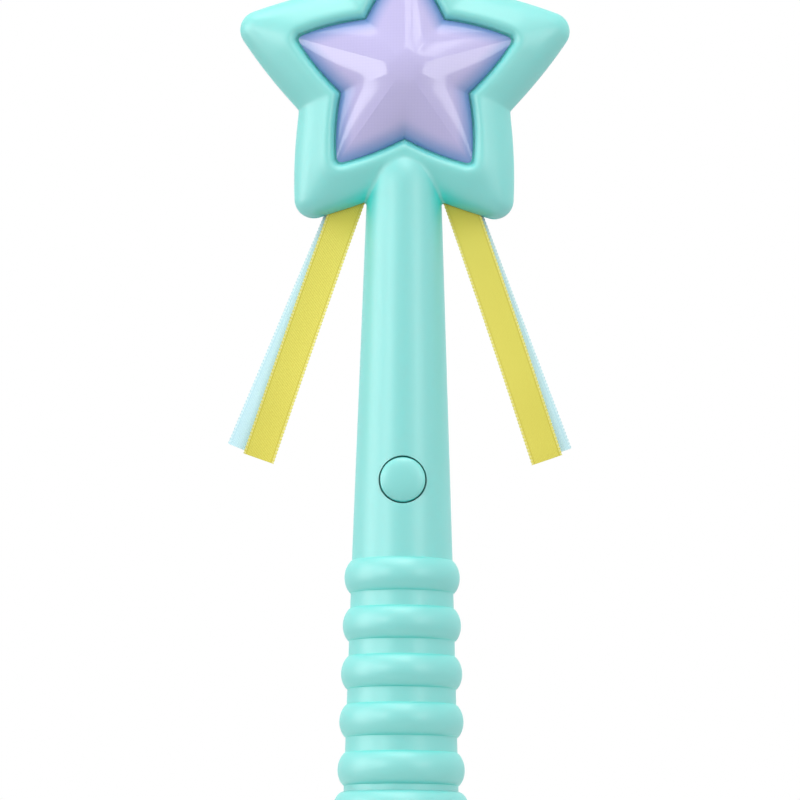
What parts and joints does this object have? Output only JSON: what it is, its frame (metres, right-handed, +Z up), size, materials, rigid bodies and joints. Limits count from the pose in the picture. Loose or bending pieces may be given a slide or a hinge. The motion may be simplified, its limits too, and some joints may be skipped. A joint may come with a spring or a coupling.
{
  "type": "toy magic wand",
  "caption": "Light-up toy wand: bevelled star head with a translucent star lens, satin ribbons, tapered stem with a push button, ribbed grip and flat end cap.",
  "frame": {"origin": "centre of the flat base of the end cap", "axes": "+Z up along the wand to the star, front with lens and button faces -Y, +X to the right seen from the front"},
  "size_m": [0.1078, 0.043, 0.2924],
  "materials": {
    "teal_plastic": "moulded, soft gloss",
    "lens_plastic": "translucent moulded lens",
    "white_plastic": "matt white",
    "board": "solder mask",
    "lamp": "clear epoxy",
    "black_plastic": "matt",
    "silicone": "matt silicone",
    "cell_jacket": "printed film, plain",
    "steel": "nickel plated",
    "yellow_satin": "satin ribbon",
    "blue_satin": "satin ribbon",
    "red_wire": "soft vinyl",
    "black_wire": "soft vinyl"
  },
  "bodies": {
    "wand": {"front_shell": "teal_plastic", "rear_shell": "teal_plastic", "end_cap": "teal_plastic", "star_lens": "lens_plastic", "star_reflector": "white_plastic", "led_board": "board", "star_leds": "lamp", "circuit_board": "board", "chip": "black_plastic", "button_dome": "silicone", "battery_tray": "black_plastic", "battery_left": "cell_jacket", "battery_right": "cell_jacket", "contact_link": "steel", "contact_positive": "steel", "contact_negative": "steel", "spring_lower": "steel", "spring_upper": "steel", "case_screws": "steel", "board_screws": "steel", "ribbon_tails_yellow": "yellow_satin", "ribbon_tails_blue": "blue_satin", "wire_battery_red": "red_wire", "wire_battery_black": "black_wire", "wire_led_red": "red_wire", "wire_led_black": "black_wire"},
    "button": {"push_button": "teal_plastic"},
    "door": {"battery_door": "teal_plastic"},
    "screw": {"door_screw": "steel"},
    "yellow_left": {"ribbon_yellow_left": "yellow_satin"},
    "yellow_right": {"ribbon_yellow_right": "yellow_satin"},
    "blue_left": {"ribbon_blue_left": "blue_satin"},
    "blue_right": {"ribbon_blue_right": "blue_satin"}
  },
  "joints": [
    {"name": "button_press", "type": "slide", "parent": "wand", "child": "button", "axis": [0, 1, 0], "range_m": [0, 0.0012], "stiffness_N_per_m": 1500, "deforming": ["button_dome"]},
    {"name": "door_off", "type": "slide", "parent": "wand", "child": "door", "axis": [0, 1, 0], "range_m": [0, 0.03]},
    {"name": "door_screw_turn", "type": "hinge", "parent": "door", "child": "screw", "pos_m": [0, 0.012, 0.0747], "axis": [0, 1, 0], "continuous": true},
    {"name": "yellow_left_flap", "type": "hinge", "parent": "wand", "child": "yellow_left", "pos_m": [-0.0179, -0.0005, 0.19775], "axis": [-0.9357, 0, -0.3527], "range_deg": [0, 60]},
    {"name": "yellow_right_flap", "type": "hinge", "parent": "wand", "child": "yellow_right", "pos_m": [0.0179, -0.0005, 0.19775], "axis": [-0.9357, 0, 0.3527], "range_deg": [0, 60]},
    {"name": "blue_left_flap", "type": "hinge", "parent": "wand", "child": "blue_left", "pos_m": [-0.0187, 0.0005, 0.19745], "axis": [0.9357, 0, 0.3527], "range_deg": [0, 60]},
    {"name": "blue_right_flap", "type": "hinge", "parent": "wand", "child": "blue_right", "pos_m": [0.0187, 0.0005, 0.19745], "axis": [0.9357, 0, -0.3527], "range_deg": [0, 60]}
  ]
}
